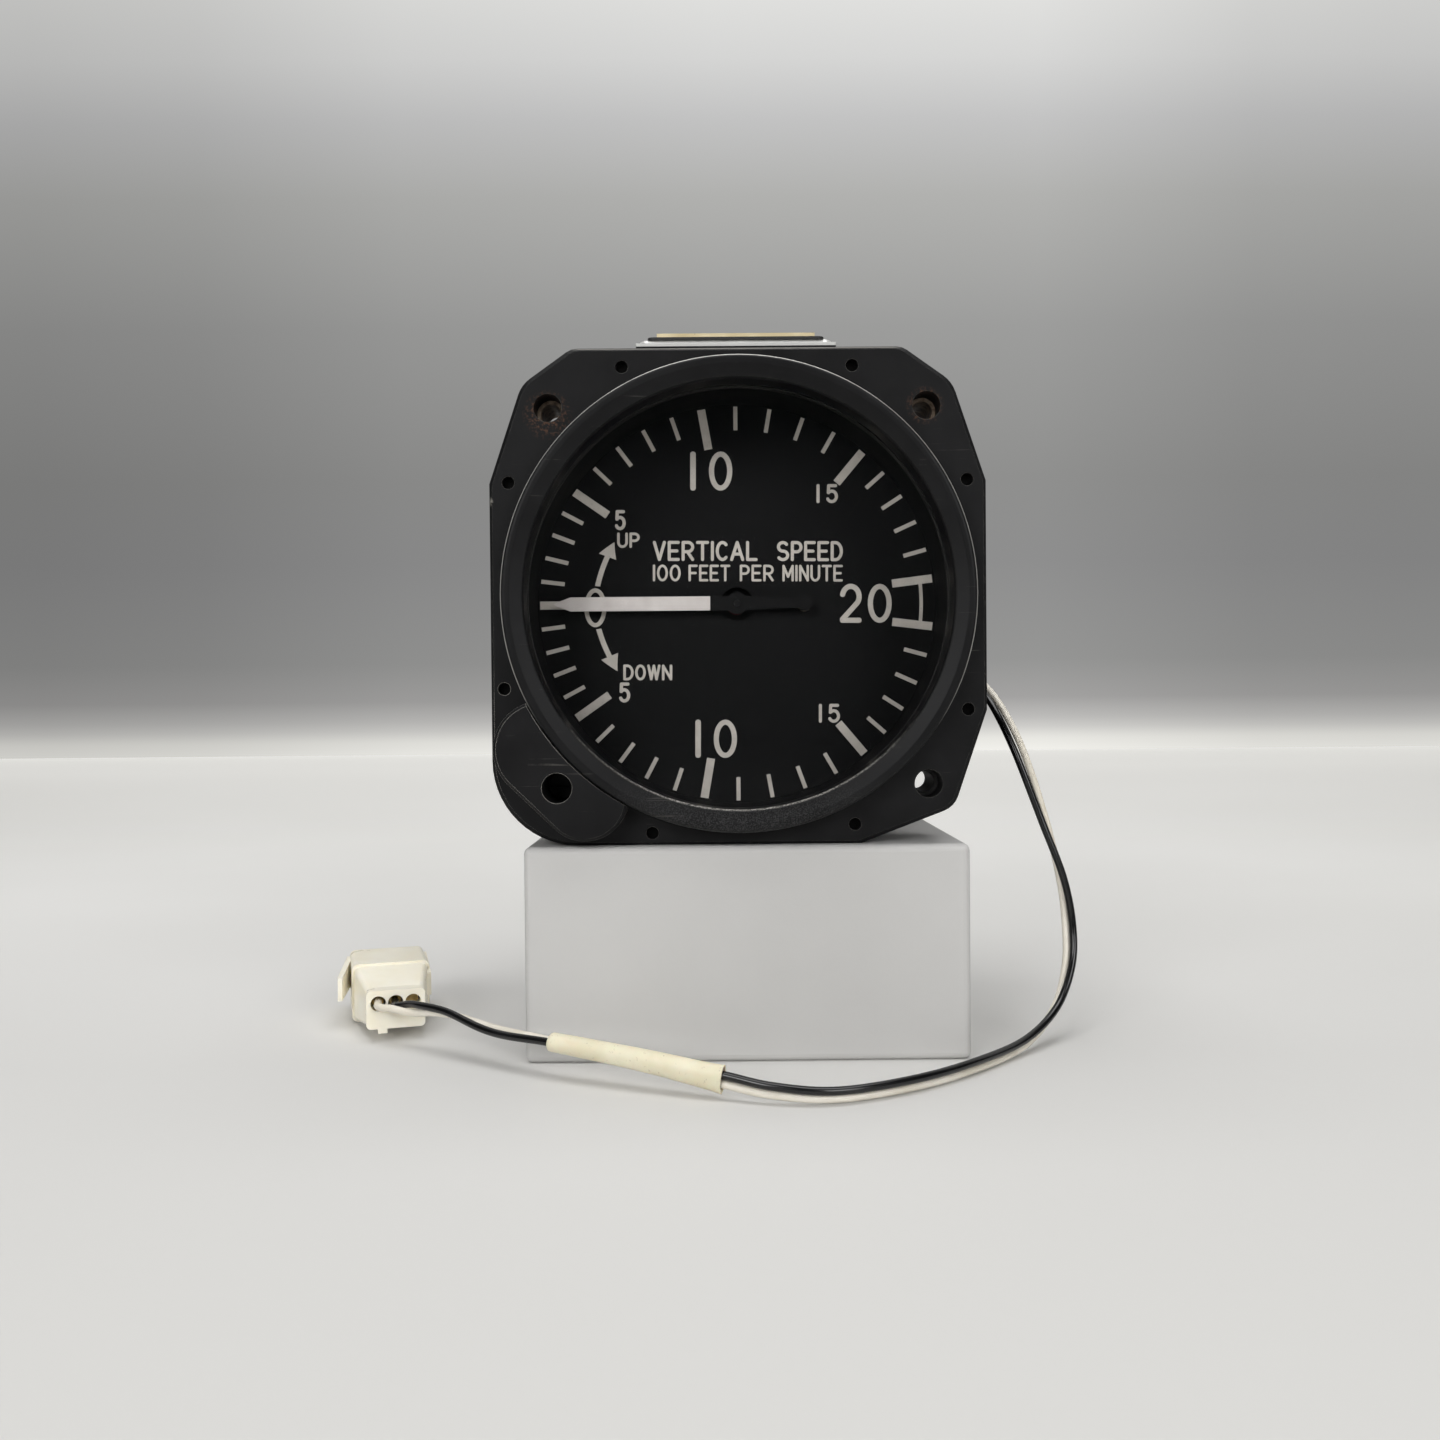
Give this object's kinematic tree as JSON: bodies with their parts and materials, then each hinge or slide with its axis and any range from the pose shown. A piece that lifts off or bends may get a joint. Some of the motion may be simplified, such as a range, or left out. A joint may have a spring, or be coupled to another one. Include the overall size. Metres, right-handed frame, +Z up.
{
  "type": "vertical speed indicator",
  "caption": "Aircraft vertical speed dial instrument with square rear-mount flange, round bezel, capsule and geared pointer, and a two-wire lighting lead with a plug.",
  "frame": {"origin": "centre of the flange's front face, where the panel lies, on the dial axis", "axes": "-Y towards the pilot along the dial axis, +X to the right as the dial is read, +Z up"},
  "size_m": [0.1379, 0.1055, 0.1225],
  "materials": {
    "black_casting": "satin black enamel",
    "ring_black": "black enamel worn at the inner edge",
    "insert_steel": "plated steel with rust",
    "nylon": "natural nylon",
    "glass": "clear",
    "rubber": "matte",
    "black_steel": "black oxide",
    "acrylic": "clear moulded",
    "bare_aluminium": "satin",
    "label_gold": "gold anodised foil",
    "tape": "matte foam",
    "dial_black": "matt black paint",
    "dial_ink": "aged grey-white paint",
    "pointer_white": "white paint, black tail",
    "brass": "satin",
    "steel": "polished",
    "jewel": "polished synthetic ruby",
    "bronze": "satin beryllium copper",
    "insulation_black": "glossy extruded",
    "insulation_white": "satin extruded",
    "sleeve_vinyl": "satin vinyl"
  },
  "bodies": {
    "instrument": {"bezel_flange": "black_casting", "lug_inserts": "insert_steel", "bezel_ring": "ring_black", "slip_washer": "nylon", "cover_glass": "glass", "glass_gasket": "rubber", "case_gasket": "rubber", "case_body": "black_casting", "case_screws": "black_steel", "light_ring": "acrylic", "lamps": "glass", "lamp_sockets": "bare_aluminium", "bay_cover": "bare_aluminium", "label_tape": "tape", "gold_label": "label_gold", "dial_spacer": "dial_black", "dial_plate": "dial_black", "dial_ticks": "dial_ink", "dial_ring": "dial_black", "front_plate": "brass", "rear_plate": "brass", "pillars": "brass", "plate_screws": "steel", "jewel_bearings": "jewel", "rocker_bracket": "steel", "capsule": "bronze", "capsule_base": "brass", "restrictor": "brass", "capillary_tube": "glass", "rear_gasket": "rubber", "rear_cover": "black_casting", "cover_screws": "black_steel", "static_port": "brass", "zero_bush": "brass", "zero_stud": "steel", "lead_grommet": "rubber", "wire_black": "insulation_black", "wire_white": "insulation_white", "lead_sleeve": "sleeve_vinyl", "plug_housing": "nylon", "plug_contacts": "brass"},
    "pointer": {"pointer": "pointer_white", "pointer_hub": "brass", "counterweight": "brass", "pointer_staff": "steel", "pinion": "brass"},
    "sector": {"sector_gear": "brass", "sector_shaft": "steel", "short_lever_arm": "steel"},
    "rocker": {"rocking_shaft": "steel", "drive_arm": "steel", "capsule_arm": "steel"},
    "post": {"capsule_post": "steel"},
    "zero_adjuster": {"zero_screw": "steel", "zero_pinion": "brass"},
    "zero_lever": {"zero_lever": "steel"}
  },
  "joints": [
    {"name": "sector_swing", "type": "hinge", "parent": "instrument", "child": "sector", "pos_m": [0, 0.028, -0.0165], "axis": [0, 1, 0], "range_deg": [-17.3, 17.3], "stiffness_Nm_per_rad": 0.02},
    {"name": "pointer_turn", "type": "hinge", "parent": "instrument", "child": "pointer", "pos_m": [0, 0.028, 0], "axis": [0, 1, 0], "range_deg": [-173, 173]},
    {"name": "rocker_swing", "type": "hinge", "parent": "instrument", "child": "rocker", "pos_m": [0, 0.051, -0.0165], "axis": [1, 0, 0], "range_deg": [-5.8, 5.8]},
    {"name": "post_slide", "type": "slide", "parent": "instrument", "child": "post", "axis": [0, 1, 0], "range_m": [-0.00167, 0.00167], "deforming": ["capsule"]},
    {"name": "zero_lever_swing", "type": "hinge", "parent": "instrument", "child": "zero_lever", "pos_m": [-0.02136, 0.0241, -0.02236], "axis": [0, 1, 0], "range_deg": [-12, 12]},
    {"name": "zero_adjust", "type": "hinge", "parent": "instrument", "child": "zero_adjuster", "pos_m": [-0.03, 0.01, -0.0314], "axis": [0, 1, 0], "range_deg": [-48, 48]}
  ],
  "couplings": [
    {"joint": "pointer_turn", "follows": "sector_swing", "ratio": -10},
    {"joint": "rocker_swing", "follows": "sector_swing", "ratio": 0.33333},
    {"joint": "post_slide", "follows": "sector_swing", "m_per_rad": -0.0055},
    {"joint": "zero_adjust", "follows": "zero_lever_swing", "ratio": -4}
  ]
}
